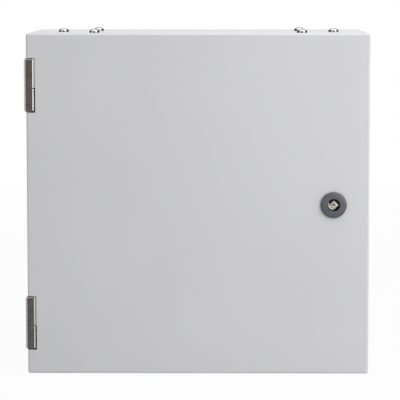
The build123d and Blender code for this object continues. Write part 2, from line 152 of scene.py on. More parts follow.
def new_material(name):
    """Empty material, its tree, and the place on the object that its patterns follow."""
    material = bpy.data.materials.new(name)
    tree = clear_tree(material)
    return material, tree, add_node(tree, "TexCoord")["Object"]


def give_surface(material, values):
    """Give a material its surface, whose inputs are the values."""
    tree = material.node_tree
    surface = add_node(tree, "BsdfPrincipled", values)
    add_node(tree, "OutputMaterial", {"Surface": surface["BSDF"]})
    return material


def scale_of(size_mm):
    """Scale of a pattern whose grains are about the given size in millimetres."""
    return 1.0 / (size_mm * MM)


# Materials


def powder_coat(settings):
    """Light-grey polyester powder coat: satin, with a fine orange peel that softens reflections."""
    material, tree, place = new_material("polyester_powder_coat")
    cloud = add_node(tree, "TexNoise", {"Vector": place, "Scale": scale_of(180.0), "Detail": 1.0})["Fac"]
    tones = [(0.3, settings.paint_shade), (0.7, settings.paint_light)]
    coarse = scale_of(settings.peel_mm)
    peel = add_node(tree, "TexNoise", {"Vector": place, "Scale": coarse, "Detail": 1.0})["Fac"]
    fine = add_node(tree, "TexNoise", {"Vector": place, "Scale": scale_of(settings.peel_mm / 3)})["Fac"]
    waves = add_node(tree, "Bump", {"Height": peel, "Distance": 0.02 * MM})["Normal"]
    grit = add_node(tree, "Bump", {"Height": fine, "Distance": 0.006 * MM, "Normal": waves})
    return give_surface(material, {
        "Base Color": add_node(tree, "ValToRGB", {"Fac": cloud}, tones)["Color"],
        "Roughness": add_node(tree, "MapRange", {"Value": fine, "To Min": 0.40, "To Max": 0.52})["Result"],
        "Normal": grit["Normal"],
        "IOR": 1.5,
    })


def phosphated_steel(settings):
    """Bare steel, phosphated dark brown-grey: dull front with painted shade lines, edges and leaves worn and
    painted highlit.
    """
    material, tree, place = new_material("phosphated_steel")
    ragged_reach = 0.6 * MM
    edge_fade = 0.4 * MM
    edge_shade_start = 1.1 * MM
    edge_shade_end = 0.3 * MM
    end_slack = 0.1 * MM
    low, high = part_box("upper_hinge_shell_half")
    half_width = settings.hinge_front / 2 * MM
    middle_x = low.x + settings.hinge_width / 2 * MM
    middle_z = (low.z + high.z) / 2
    half_length = (high.z - low.z) / 2

    # How far a place is from the middle of the hinge, with a ragged edge
    torn = add_node(tree, "TexNoise", {
        "Vector": place, "Scale": scale_of(2.5), "Detail": 3.0, "Roughness": 0.6,
    })["Fac"]
    ragged = add_node(tree, "MapRange", {"Value": torn, "To Min": -ragged_reach, "To Max": ragged_reach})
    spot = add_node(tree, "SeparateXYZ", {"Vector": place})
    aside = add_node(tree, "Math", {"operation": "SUBTRACT", 0: spot["X"], 1: middle_x})["Value"]
    aside = add_node(tree, "Math", {"operation": "ABSOLUTE", 0: aside})["Value"]
    aside = add_node(tree, "Math", {"operation": "ADD", 0: aside, 1: ragged["Result"]})["Value"]

    # Wear and painted highlight beside the flat front, painted light on the leaves past the knuckles' ends,
    # and less on the up- and down-facing end bevels
    worn = add_node(tree, "MapRange", {
        "Value": aside, "From Min": half_width, "From Max": half_width + edge_fade,
    })["Result"]
    height = add_node(tree, "Math", {"operation": "ABSOLUTE", 0: spot["Z"]})["Value"]
    inside = add_node(tree, "Math", {
        "operation": "COMPARE", 0: height, 1: middle_z, 2: half_length + end_slack,
    })["Value"]
    leaf = add_node(tree, "Math", {"operation": "SUBTRACT", 0: 1.0, 1: inside})["Value"]
    facing = add_node(tree, "TexCoord")["Normal"]
    upward = add_node(tree, "SeparateXYZ", {"Vector": facing})["Z"]
    upright = add_node(tree, "Math", {"operation": "ABSOLUTE", 0: upward})["Value"]
    bevel = add_node(tree, "Math", {"operation": "MULTIPLY", 0: upright, 1: settings.end_wear_and_highlight})["Value"]
    for share in (leaf, bevel):
        worn = add_node(tree, "Math", {"operation": "MAXIMUM", 0: worn, 1: share})["Value"]

    # Dull skin, with painted shade in a line beside the worn edges
    patches = add_node(tree, "TexNoise", {
        "Vector": place, "Scale": scale_of(7.0), "Detail": 4.0, "Roughness": 0.65,
    })["Fac"]
    tones = [(0.3, settings.hinge_dark), (0.7, settings.hinge_mid)]
    skin = add_node(tree, "ValToRGB", {"Fac": patches}, tones)["Color"]
    line = add_node(tree, "MapRange", {
        "Value": aside, "From Min": half_width - edge_shade_start, "From Max": half_width - edge_shade_end,
    })["Result"]
    shades = [(0.0, "#FFFFFF"), (1.0, settings.hinge_edge_shade)]
    shade = add_node(tree, "ValToRGB", {"Fac": line}, shades)["Color"]
    dull = add_node(tree, "Mix", {
        "data_type": "RGBA", "blend_type": "MULTIPLY", 0: 1.0, 6: skin, 7: shade,
    })[2]
    bright = linear(settings.hinge_wear_and_highlight)
    grit = add_node(tree, "TexNoise", {"Vector": place, "Scale": scale_of(0.6), "Detail": 3.0})["Fac"]
    return give_surface(material, {
        "Base Color": add_node(tree, "Mix", {"data_type": "RGBA", 0: worn, 6: dull, 7: bright})[2],
        "Roughness": add_node(tree, "MapRange", {"Value": patches, "To Min": 0.46, "To Max": 0.3})["Result"],
        "Normal": add_node(tree, "Bump", {"Height": grit, "Distance": 0.03 * MM})["Normal"],
        "Metallic": 0.8,
    })


def bright_zinc(settings):
    """Bright zinc plate with a clear passivation: cool silver, with painted shade and painted dark
    reflections where the piece is marked.
    """
    material, tree, place = new_material("bright_zinc_plate")
    shade_roughness = 0.3
    tones = [(0.3, "#B9BDC2"), (0.5, "#C9CBCC"), (0.7, "#CDC9BF")]
    drift = add_node(tree, "TexNoise", {"Vector": place, "Scale": scale_of(4.0)})["Fac"]
    clean = add_node(tree, "ValToRGB", {"Fac": drift}, tones)["Color"]
    # Painted shade and painted dark reflections, from the screws' attribute, darken the zinc
    grime = add_node(tree, "Attribute", {"attribute_name": "grime"})["Fac"]
    shade_colour = linear(settings.grime)
    gloss = add_node(tree, "MapRange", {"Value": drift, "To Min": 0.24, "To Max": 0.38})["Result"]
    matt = {"operation": "MULTIPLY_ADD", 0: grime, 1: shade_roughness, 2: gloss}
    fine = add_node(tree, "TexNoise", {"Vector": place, "Scale": scale_of(0.35)})["Fac"]
    return give_surface(material, {
        "Base Color": add_node(tree, "Mix", {"data_type": "RGBA", 0: grime, 6: clean, 7: shade_colour})[2],
        "Roughness": add_node(tree, "Math", matt)["Value"],
        "Normal": add_node(tree, "Bump", {"Height": fine, "Distance": 0.006 * MM})["Normal"],
        "Metallic": 1.0,
    })


def galvanised_sheet(settings):
    """Hot-dip galvanised sheet: large flat crystals, each with its own grey and gloss."""
    material, tree, place = new_material("hot_dip_galvanised_sheet")
    scale = scale_of(settings.spangle_mm)
    bend = 0.4
    reach = [settings.spangle_mm * MM * bend] * 3
    tones = [(0.0, "#9DA2A6"), (0.5, "#B1B5B8"), (1.0, "#C4C7C9")]
    warp = add_node(tree, "TexNoise", {"Vector": place, "Scale": scale * 2})["Color"]
    bent = add_node(tree, "VectorMath", {"operation": "MULTIPLY_ADD", 0: warp, 1: reach, 2: place})["Vector"]
    cells = add_node(tree, "TexVoronoi", {"Vector": bent, "Scale": scale})["Color"]
    tone = add_node(tree, "SeparateColor", {"Color": cells})["Red"]
    return give_surface(material, {
        "Base Color": add_node(tree, "ValToRGB", {"Fac": tone}, tones)["Color"],
        "Roughness": add_node(tree, "MapRange", {"Value": tone, "To Min": 0.34, "To Max": 0.52})["Result"],
        "Normal": add_node(tree, "Bump", {"Height": tone, "Distance": 0.01 * MM})["Normal"],
        "Metallic": 1.0,
    })


def drawn_stainless(settings):
    """Drawn stainless steel bar: fine lines along the bar, warm silver."""
    material, tree, place = new_material("drawn_stainless_steel")
    along_bar = 0.03
    drawn = add_node(tree, "Mapping", {"Vector": place, "Scale": [1.0, 1.0, along_bar]})["Vector"]
    lines = add_node(tree, "TexNoise", {"Vector": drawn, "Scale": scale_of(0.3)})["Fac"]
    tones = [(0.2, "#A9A7A2"), (0.8, "#C6C4BE")]
    return give_surface(material, {
        "Base Color": add_node(tree, "ValToRGB", {"Fac": lines}, tones)["Color"],
        "Roughness": add_node(tree, "MapRange", {"Value": lines, "To Min": 0.18, "To Max": 0.34})["Result"],
        "Normal": add_node(tree, "Bump", {"Height": lines, "Distance": 0.004 * MM})["Normal"],
        "Metallic": 1.0,
    })


def filled_polyamide(settings):
    """Glass-filled polyamide, moulded dark grey: satin, with a faint spark-eroded grain."""
    material, tree, place = new_material("glass_filled_polyamide")
    cloud = add_node(tree, "TexNoise", {"Vector": place, "Scale": scale_of(9.0), "Detail": 3.0})["Fac"]
    tones = [(0.3, settings.lock_dark), (0.7, settings.lock_light)]
    skin = add_node(tree, "TexNoise", {"Vector": place, "Scale": scale_of(0.5)})["Fac"]
    return give_surface(material, {
        "Base Color": add_node(tree, "ValToRGB", {"Fac": cloud}, tones)["Color"],
        "Roughness": add_node(tree, "MapRange", {"Value": skin, "To Min": 0.42, "To Max": 0.54})["Result"],
        "Normal": add_node(tree, "Bump", {"Height": skin, "Distance": 0.012 * MM})["Normal"],
        "IOR": 1.53,
    })


def nickel_plate(settings):
    """Nickel-plated zinc casting: warm silver, dulled by keys in front, with painted shade in the well."""
    material, tree, place = new_material("nickel_plated_casting")
    face_depth = 0.12 * MM
    well_shade_depth = 0.7 * MM
    hole_reach = 2.4 * MM
    lit_side_until = -3.4 * MM
    shaded_from = -2.2 * MM
    away_from_lit_side = [0.77, 0.0, 0.64]
    well_shade_roughness = 0.2
    low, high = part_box("lock_spindle")
    middle = [(low.x + high.x) / 2, low.y, (low.z + high.z) / 2]

    # Metal: a face that keys have dulled, and clean plate behind it
    local = add_node(tree, "VectorMath", {"operation": "SUBTRACT", 0: place, 1: middle})["Vector"]
    depth = add_node(tree, "SeparateXYZ", {"Vector": local})["Y"]
    front = add_node(tree, "Math", {"operation": "LESS_THAN", 0: depth, 1: face_depth})["Value"]
    dulled = add_node(tree, "TexNoise", {"Vector": place, "Scale": scale_of(1.6), "Detail": 3.0})["Fac"]
    clean = add_node(tree, "ValToRGB", {"Fac": dulled}, [(0.3, "#E2DCD2"), (0.7, "#F4F0E8")])["Color"]
    tones = [(0.35, settings.post_dull), (0.65, settings.post_face)]
    face = add_node(tree, "ValToRGB", {"Fac": dulled}, tones)["Color"]
    metal = add_node(tree, "Mix", {"data_type": "RGBA", 0: front, 6: clean, 7: face})[2]

    # Painted shade: behind the face, all round but on the lower left side where the light falls, and less in
    # the small hole
    away = add_node(tree, "VectorMath", {"operation": "DOT_PRODUCT", 0: local, 1: away_from_lit_side})["Value"]
    well_shade = add_node(tree, "MapRange", {
        "Value": away, "From Min": lit_side_until, "From Max": shaded_from,
    })["Result"]
    deep = add_node(tree, "Math", {"operation": "GREATER_THAN", 0: depth, 1: well_shade_depth})["Value"]
    across = add_node(tree, "VectorMath", {"operation": "MULTIPLY", 0: local, 1: [1.0, 0.0, 1.0]})["Vector"]
    radius = add_node(tree, "VectorMath", {"operation": "LENGTH", 0: across})["Value"]
    outside = add_node(tree, "Math", {"operation": "GREATER_THAN", 0: radius, 1: hole_reach})["Value"]
    hole_share = add_node(tree, "MapRange", {
        "Value": outside, "To Min": settings.hole_shade, "To Max": 1.0,
    })["Result"]
    for share in (deep, hole_share):
        well_shade = add_node(tree, "Math", {"operation": "MULTIPLY", 0: well_shade, 1: share})["Value"]

    colour = linear(settings.well_shade)
    gloss = add_node(tree, "MapRange", {"Value": dulled, "To Min": 0.2, "To Max": 0.36})["Result"]
    matt = {"operation": "MULTIPLY_ADD", 0: well_shade, 1: well_shade_roughness, 2: gloss}
    fine = add_node(tree, "TexNoise", {"Vector": place, "Scale": scale_of(0.3)})["Fac"]
    return give_surface(material, {
        "Base Color": add_node(tree, "Mix", {"data_type": "RGBA", 0: well_shade, 6: metal, 7: colour})[2],
        "Roughness": add_node(tree, "Math", matt)["Value"],
        "Normal": add_node(tree, "Bump", {"Height": fine, "Distance": 0.004 * MM})["Normal"],
        "Metallic": 1.0,
    })


def foamed_polyurethane(settings):
    """Foamed-in-place polyurethane: dark grey closed-cell skin with tiny open bubbles."""
    material, tree, place = new_material("foamed_polyurethane")
    scale = scale_of(settings.foam_cell_mm)
    cells = add_node(tree, "TexVoronoi", {"Vector": place, "Scale": scale})["Distance"]
    tones = [(0.0, "#2B2B2C"), (0.5, "#3E3F40")]
    return give_surface(material, {
        "Base Color": add_node(tree, "ValToRGB", {"Fac": cells}, tones)["Color"],
        "Roughness": 0.85,
        "Normal": add_node(tree, "Bump", {"Height": cells, "Distance": 0.15 * MM})["Normal"],
    })


def moulded_rubber(settings):
    """Moulded rubber sheet: near-black, matt, with a slight bloom."""
    material, tree, place = new_material("moulded_rubber")
    bloom = add_node(tree, "TexNoise", {"Vector": place, "Scale": scale_of(12.0), "Detail": 3.0})["Fac"]
    tones = [(0.3, "#1B1B1C"), (0.8, "#2C2C2D")]
    skin = add_node(tree, "TexNoise", {"Vector": place, "Scale": scale_of(0.8)})["Fac"]
    return give_surface(material, {
        "Base Color": add_node(tree, "ValToRGB", {"Fac": bloom}, tones)["Color"],
        "Roughness": 0.75,
        "Normal": add_node(tree, "Bump", {"Height": skin, "Distance": 0.03 * MM})["Normal"],
    })


def black_nylon(settings):
    """Black nylon: near-black, slightly waxy."""
    material, tree, place = new_material("black_nylon")
    cloud = add_node(tree, "TexNoise", {"Vector": place, "Scale": scale_of(3.0)})["Fac"]
    tones = [(0.3, "#1C1C1D"), (0.7, "#29292A")]
    skin = add_node(tree, "TexNoise", {"Vector": place, "Scale": scale_of(0.4)})["Fac"]
    return give_surface(material, {
        "Base Color": add_node(tree, "ValToRGB", {"Fac": cloud}, tones)["Color"],
        "Roughness": 0.45,
        "Normal": add_node(tree, "Bump", {"Height": skin, "Distance": 0.01 * MM})["Normal"],
    })


MATERIALS = {
    "shell_paint": powder_coat,
    "door_paint": powder_coat,
    "hinge_zinc": phosphated_steel,
    "stainless": drawn_stainless,
    "zinc_plate": galvanised_sheet,
    "zinc_fasteners": bright_zinc,
    "lock_casting": filled_polyamide,
    "lock_nickel": nickel_plate,
    "gasket_foam": foamed_polyurethane,
    "rubber": moulded_rubber,
    "nylon": black_nylon,
}
made_materials = {}


def material_for(slot):
    """The material of a slot of the record, made once."""
    maker = MATERIALS[slot]
    if maker not in made_materials:
        made_materials[maker] = maker(bpy.context.scene.cabinet_looks)
    return made_materials[maker]


def slot_of(node):
    """The record's material slot of a CAD node."""
    return next(s["material_slot"] for s in frame["record"]["subparts"] if s["node"] == node)


def paint(piece, slot):
    """Give a piece the one material of a slot."""
    piece.data.materials.clear()
    piece.data.materials.append(material_for(slot))


def paint_nodes(names):
    """Give carried-over pieces the finish of their slots."""
    for name in names:
        paint(NODES[name], slot_of(name))


# Modelling helpers


def deselect():
    """Leave edit mode, and leave nothing selected."""
    if bpy.context.object and bpy.context.mode != "OBJECT":
        bpy.ops.object.mode_set(mode="OBJECT")
    bpy.ops.object.select_all(action="DESELECT")


def choose(piece):
    """Select only this piece, and make it active."""
    deselect()
    piece.select_set(True)
    bpy.context.view_layer.objects.active = piece


def pick(kind, test):
    """In edit mode, select the edges or faces that pass a test."""
    bpy.ops.mesh.select_mode(type=kind)
    bpy.ops.mesh.select_all(action="DESELECT")
    mesh = bmesh.from_edit_mesh(bpy.context.edit_object.data)
    for part in {"EDGE": mesh.edges, "FACE": mesh.faces}[kind]:
        if test(part):
            part.select_set(True)
    mesh.select_flush_mode()
    bmesh.update_edit_mesh(bpy.context.edit_object.data)


def turned(name, rings, sides, closed=False):
    """Turned piece on its own Z axis, from the radius and height in mm of each ring in order.

    A closed one ends on its first ring, as a bored piece does; otherwise both ends are faces.
    """
    deselect()
    radius, height = rings[0]
    bpy.ops.mesh.primitive_circle_add(
        vertices=sides, radius=radius * MM, fill_type="NOTHING" if closed else "NGON",
        location=(0, 0, height * MM),
    )
    piece = bpy.context.object
    piece.name = name
    bpy.ops.object.mode_set(mode="EDIT")
    bpy.ops.mesh.select_mode(type="VERT")
    bpy.ops.mesh.select_all(action="SELECT")
    for (radius, height), (next_radius, next_height) in zip(rings, rings[1:]):
        step = (0, 0, (next_height - height) * MM)
        bpy.ops.mesh.extrude_region_move(TRANSFORM_OT_translate={"value": step})
        share = next_radius / radius
        bpy.ops.transform.resize(value=(share, share, 1), center_override=(0, 0, next_height * MM))
    bpy.ops.mesh.select_all(action="SELECT")
    if closed:
        bpy.ops.mesh.remove_doubles(threshold=SAME_PLACE)
    bpy.ops.mesh.normals_make_consistent(inside=False)
    bpy.ops.object.mode_set(mode="OBJECT")
    bpy.ops.object.transform_apply()
    return piece


def bar(name, size, middle, foot=(1.0, 1.0)):
    """Square bar from its size and middle in mm, its lower end drawn in by the shares of foot."""
    deselect()
    bpy.ops.mesh.primitive_cube_add(size=1, location=Vector(middle) * MM, scale=Vector(size) * MM)
    piece = bpy.context.object
    piece.name = name
    bpy.ops.object.transform_apply()
    bpy.ops.object.mode_set(mode="EDIT")
    facing_down = -0.9
    pick("FACE", lambda face: face.normal.z < facing_down)
    low = (middle[2] - size[2] / 2) * MM
    bpy.ops.transform.resize(
        value=(foot[0], foot[1], 1), center_override=(middle[0] * MM, middle[1] * MM, low)
    )
    bpy.ops.object.mode_set(mode="OBJECT")
    return piece


def combine(piece, tool, operation):
    """Join a piece with a tool, or cut it by the tool, which is then taken away."""
    choose(piece)
    bpy.ops.object.modifier_add(type="BOOLEAN")
    modifier = piece.modifiers[-1]
    modifier.operation = operation
    modifier.solver = "EXACT"
    modifier.object = tool
    bpy.ops.object.modifier_apply(modifier=modifier.name)
    bpy.data.objects.remove(tool, do_unlink=True)


def soften(piece, width, segments=2):
    """Small rounding along the sharp edges of a piece."""
    choose(piece)
    bpy.ops.object.modifier_add(type="BEVEL")
    modifier = piece.modifiers[-1]
    modifier.width = width * MM
    modifier.segments = segments
    modifier.limit_method = "ANGLE"
    modifier.angle_limit = SHARP_FOR_ROUNDING
    bpy.ops.object.modifier_apply(modifier=modifier.name)


def smooth(piece):
    """Shade round faces as round and leave sharp edges."""
    choose(piece)
    bpy.ops.object.shade_smooth_by_angle(angle=SHARP_FOR_SHADING)


def copy_of(piece, name):
    """Another piece with a mesh of its own."""
    twin = piece.copy()
    twin.data = piece.data.copy()
    twin.name = name
    bpy.context.collection.objects.link(twin)
    return twin


def discard(pieces):
    """Take away the models that copies were made from."""
    for piece in list(pieces):
        bpy.data.objects.remove(piece, do_unlink=True)


def settle(piece, place, direction):
    """Turn a piece's own Z to a direction and move it, with both kept in its mesh."""
    piece.rotation_euler = Vector(direction).to_track_quat("Z", "Y").to_euler()
    piece.location = place
    choose(piece)
    bpy.ops.object.transform_apply()


def hand_over(piece, node, body):
    """Let a finished piece stand for a CAD node, in that node's finish, on its body."""
    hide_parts(node)
    paint(piece, slot_of(node))
    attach(piece, body)


def body_of(node):
    """The body that a CAD node rides on."""
    bodies = frame["record"]["behaviour"]["bodies"]
    return next(body for body, names in bodies.items() if node in names)


def solid_boxes(node):
    """Lowest and highest corner of each separate solid of a CAD node, in order of place."""
    mesh = bmesh.new()
    mesh.from_mesh(NODES[node].data)
    bmesh.ops.remove_doubles(mesh, verts=mesh.verts, dist=SAME_PLACE)
    left = set(mesh.verts)
    boxes = []
    while left:
        found = [left.pop()]
        points = []
        while found:
            vertex = found.pop()
            points.append(vertex.co.copy())
            for edge in vertex.link_edges:
                other = edge.other_vert(vertex)
                if other in left:
                    left.remove(other)
                    found.append(other)
        low = Vector([min(p[i] for p in points) for i in range(3)])
        high = Vector([max(p[i] for p in points) for i in range(3)])
        boxes.append((low, high))
    mesh.free()
    return sorted(boxes, key=lambda box: tuple(round(c, 5) for c in box[0]))


def ends(box, direction):
    """Middle points of a box's two ends along a direction, the nearer first."""
    low, high = box
    middle = (low + high) / 2
    half = Vector(direction) * abs((high - low).dot(Vector(direction))) / 2
    return middle - half, middle + half


# Threads and screws


def thread(size, low, high):
    """Rings of a metric thread between two heights in mm, drawn as rings side by side."""
    radius, pitch = size
    root = radius - THREAD_DEPTH * pitch
    turns = max(1, round((high - low) / pitch))
    step = (high - low) / turns
    rings = [(root, low)]
    for turn in range(turns):
        start = low + turn * step
        rings += [(radius, start + CREST_START * step), (radius, start + CREST_END * step)]
        rings.append((root, start + step))
    return rings


def cross_screw(name, size, length, head):
    """Pan-head screw with a tapered cross recess; the head stands on its own XY plane."""
    thread_radius, pitch = size
    head_radius, head_height = head
    tip = 0.3 * pitch
    edge = 0.05 * head_radius
    crown = 0.04 * head_radius
    rim = 0.35 * head_height
    rings = [(thread_radius - THREAD_DEPTH * pitch, -length)]
    rings += thread(size, -length + tip, 0)
    rings += [(head_radius - edge, 0), (head_radius, edge), (head_radius, rim)]
    for turn in range(10, 90, 10):
        angle = math.radians(turn)
        rings.append((head_radius * math.cos(angle), rim + (head_height - rim) * math.sin(angle)))
    rings.append((crown, head_height))
    screw = turned(name, rings, sides=40)

    wing_length = 1.16 * head_radius
    wing_width = 0.27 * head_radius
    wing_height = 1.5 * head_height
    end_taper = 0.42
    side_taper = 0.75
    middle = (0, 0, rim + wing_height / 2)
    along = bar("recess", (wing_length, wing_width, wing_height), middle, (end_taper, side_taper))
    combine(screw, along, "DIFFERENCE")
    across = bar("recess", (wing_width, wing_length, wing_height), middle, (side_taper, end_taper))
    combine(screw, across, "DIFFERENCE")
    hub_low = (0.14 * head_radius, middle[2] - wing_height / 2)
    hub_high = (0.34 * head_radius, 2 * head_height)
    combine(screw, turned("recess", [hub_low, hub_high], sides=16), "DIFFERENCE")
    return screw


def mark_painted_shade(screw, head):
    """Give a screw an attribute of painted shade: round the recess, at the sides, and in a low spot in
    front.

    Places on the head are shares of its radius or height.
    """
    head_radius, head_height = head
    recess_end = 0.78
    recess_fade = 0.14
    recess_most = 0.75
    side_start = 0.72
    side_fade = 0.2
    aside_start = 0.35
    aside_fade = 0.35
    low_spot_start = 0.9
    low_spot_width = 0.2
    low_spot_top = 0.5
    low_spot_amount = 0.9
    most = 0.95
    # Painted shade in the recess and the low front spot, and painted dark reflections at the sides
    grime = screw.data.attributes.new("grime", "FLOAT", "POINT")
    own_y = Vector((0, 1, 0))
    rearward = (Vector(UP).to_track_quat("Z", "Y") @ own_y).y
    for vertex, value in zip(screw.data.vertices, grime.data):
        share = math.hypot(vertex.co.x, vertex.co.y) / MM / head_radius
        aside = abs(vertex.co.x) / MM / head_radius
        height = vertex.co.z / MM / head_height
        around = min(recess_most, (recess_end - share) / recess_fade)
        # The darkening at the sides is a painted dark reflection
        beside = min(1.0, max(0.0, (aside - aside_start) / aside_fade))
        sides = (share - side_start) / side_fade * beside
        in_front = vertex.co.y * rearward < 0
        low_spot = in_front and share > low_spot_start and aside < low_spot_width and height < low_spot_top
        value.value = min(most, max(0.0, around, sides, low_spot_amount if low_spot else 0.0))


def place_screws(node, direction, size, head, with_painted_shade=False):
    """Put a screw where each solid of a CAD group is, its head towards the direction."""
    made = {}
    for number, box in enumerate(solid_boxes(node), 1):
        tail, top = ends(box, direction)
        length = round((top - tail).length / MM - head[1], 3)
        if length not in made:
            made[length] = cross_screw(node, size, length, head)
            smooth(made[length])
            # Painted shade and painted dark reflections only for the screws that ask for them
            if with_painted_shade:
                mark_painted_shade(made[length], head)
        screw = copy_of(made[length], f"{node}_{number}")
        settle(screw, top - Vector(direction) * head[1] * MM, direction)
        hand_over(screw, node, body_of(node))
    discard(made.values())


def stud_foot(thread_radius, collar):
    """Rings of a stud's foot in mm, and where its thread starts: a bevelled collar or a weld flange."""
    if collar:
        radius, height = collar
        bevel = 0.4
        rings = [(radius - bevel, 0), (radius, bevel), (radius, height - bevel), (radius - bevel, height)]
        return rings, height
    flange = 1.15 * thread_radius
    flange_height = 0.5
    neck = 0.92 * thread_radius
    neck_start = 0.9
    neck_end = 1.2
    return [(flange, 0), (flange, flange_height), (neck, neck_start)], neck_end


def place_studs(node, direction, size, collar=None):
    """Put a threaded weld stud where each solid of a CAD group is, its tip towards the direction."""
    radius, pitch = size
    tip = 0.8 * pitch
    made = {}
    for number, box in enumerate(solid_boxes(node), 1):
        foot, top = ends(box, direction)
        length = round((top - foot).length / MM, 3)
        if length not in made:
            rings, start = stud_foot(radius, collar)
            rings += thread(size, start, length - tip)
            rings.append((radius - pitch, length))
            made[length] = turned(node, rings, sides=32)
            smooth(made[length])
        piece = copy_of(made[length], f"{node}_{number}")
        settle(piece, foot, direction)
        hand_over(piece, node, body_of(node))
    discard(made.values())


# The stage


def add_floor(settings):
    """Pale floor that the camera sees as near white, with the object's soft shadow round its foot."""
    bpy.ops.mesh.primitive_plane_add(size=settings.floor_size, location=(0, 0, cad_box[0].z))
    floor = bpy.context.object
    floor.name = "floor"
    shadow_end = 2.4
    shadow_fade_start = 0.8
    material = bpy.data.materials.new("studio_floor")
    tree = clear_tree(material)
    lit = add_node(tree, "BsdfDiffuse", {"Color": linear(settings.floor_colour)})["BSDF"]
    glow = add_node(tree, "Emission", {"Color": WHITE, "Strength": 1.0})["Emission"]
    place = add_node(tree, "TexCoord")["Object"]
    away = add_node(tree, "VectorMath", {"operation": "LENGTH", 0: place})["Value"]
    white = add_node(tree, "MapRange", {
        "Value": away, "From Min": shadow_fade_start, "From Max": shadow_end,
        "To Min": 1.0 - settings.shadow_share, "To Max": 1.0,
    })["Result"]
    share = add_node(tree, "Math", {"operation": "MULTIPLY", 0: seen_directly(tree), 1: white})["Value"]
    surface = add_node(tree, "MixShader", {0: share, 1: lit, 2: glow})["Shader"]
    add_node(tree, "OutputMaterial", {"Surface": surface})
    floor.data.materials.append(material)


def seen_directly(tree):
    """One for camera, mirror and glass rays, zero for the rays that light the object."""
    path = add_node(tree, "LightPath")
    seen = path["Is Camera Ray"]
    for kind in ("Is Glossy Ray", "Is Transmission Ray"):
        seen = add_node(tree, "Math", {"operation": "MAXIMUM", 0: seen, 1: path[kind]})["Value"]
    return seen


def set_world(settings):
    """White surroundings for the camera, and a plain even light for the object."""
    world = bpy.data.worlds.new("studio_world")
    tree = clear_tree(world)
    colour = (*settings.ambient_colour, 1.0)
    soft = add_node(tree, "Background", {"Color": colour, "Strength": settings.ambient})["Background"]
    white = add_node(tree, "Background", {"Color": WHITE, "Strength": 1.0})["Background"]
    surface = add_node(tree, "MixShader", {0: seen_directly(tree), 1: soft, 2: white})["Shader"]
    add_node(tree, "OutputWorld", {"Surface": surface})
    bpy.context.scene.world = world


def add_lamp(name, place, size, power):
    """Square soft box that faces the object."""
    bpy.ops.object.light_add(type="AREA", location=place)
    lamp = bpy.context.object
    lamp.name = name
    lamp.data.size = size
    lamp.data.energy = power
    lamp.rotation_euler = (Vector(AIM) - Vector(place)).to_track_quat("-Z", "Y").to_euler()


def add_camera(settings):
    """Camera in front, a little above the roof, turned down and shifted as the photograph is."""
    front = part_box("door_panel")[0].y
    place = (settings.camera_x, front - settings.camera_distance, settings.camera_height)
    turn = (math.pi / 2 - settings.camera_pitch, 0, settings.camera_turn)
    bpy.ops.object.camera_add(location=place, rotation=turn)
    camera = bpy.context.object
    camera.data.lens = settings.camera_lens
    camera.data.sensor_width = 36.0
    camera.data.shift_y = settings.camera_shift
    camera.data.clip_end = 50.0
    bpy.context.scene.camera = camera


# Settings that a user would change


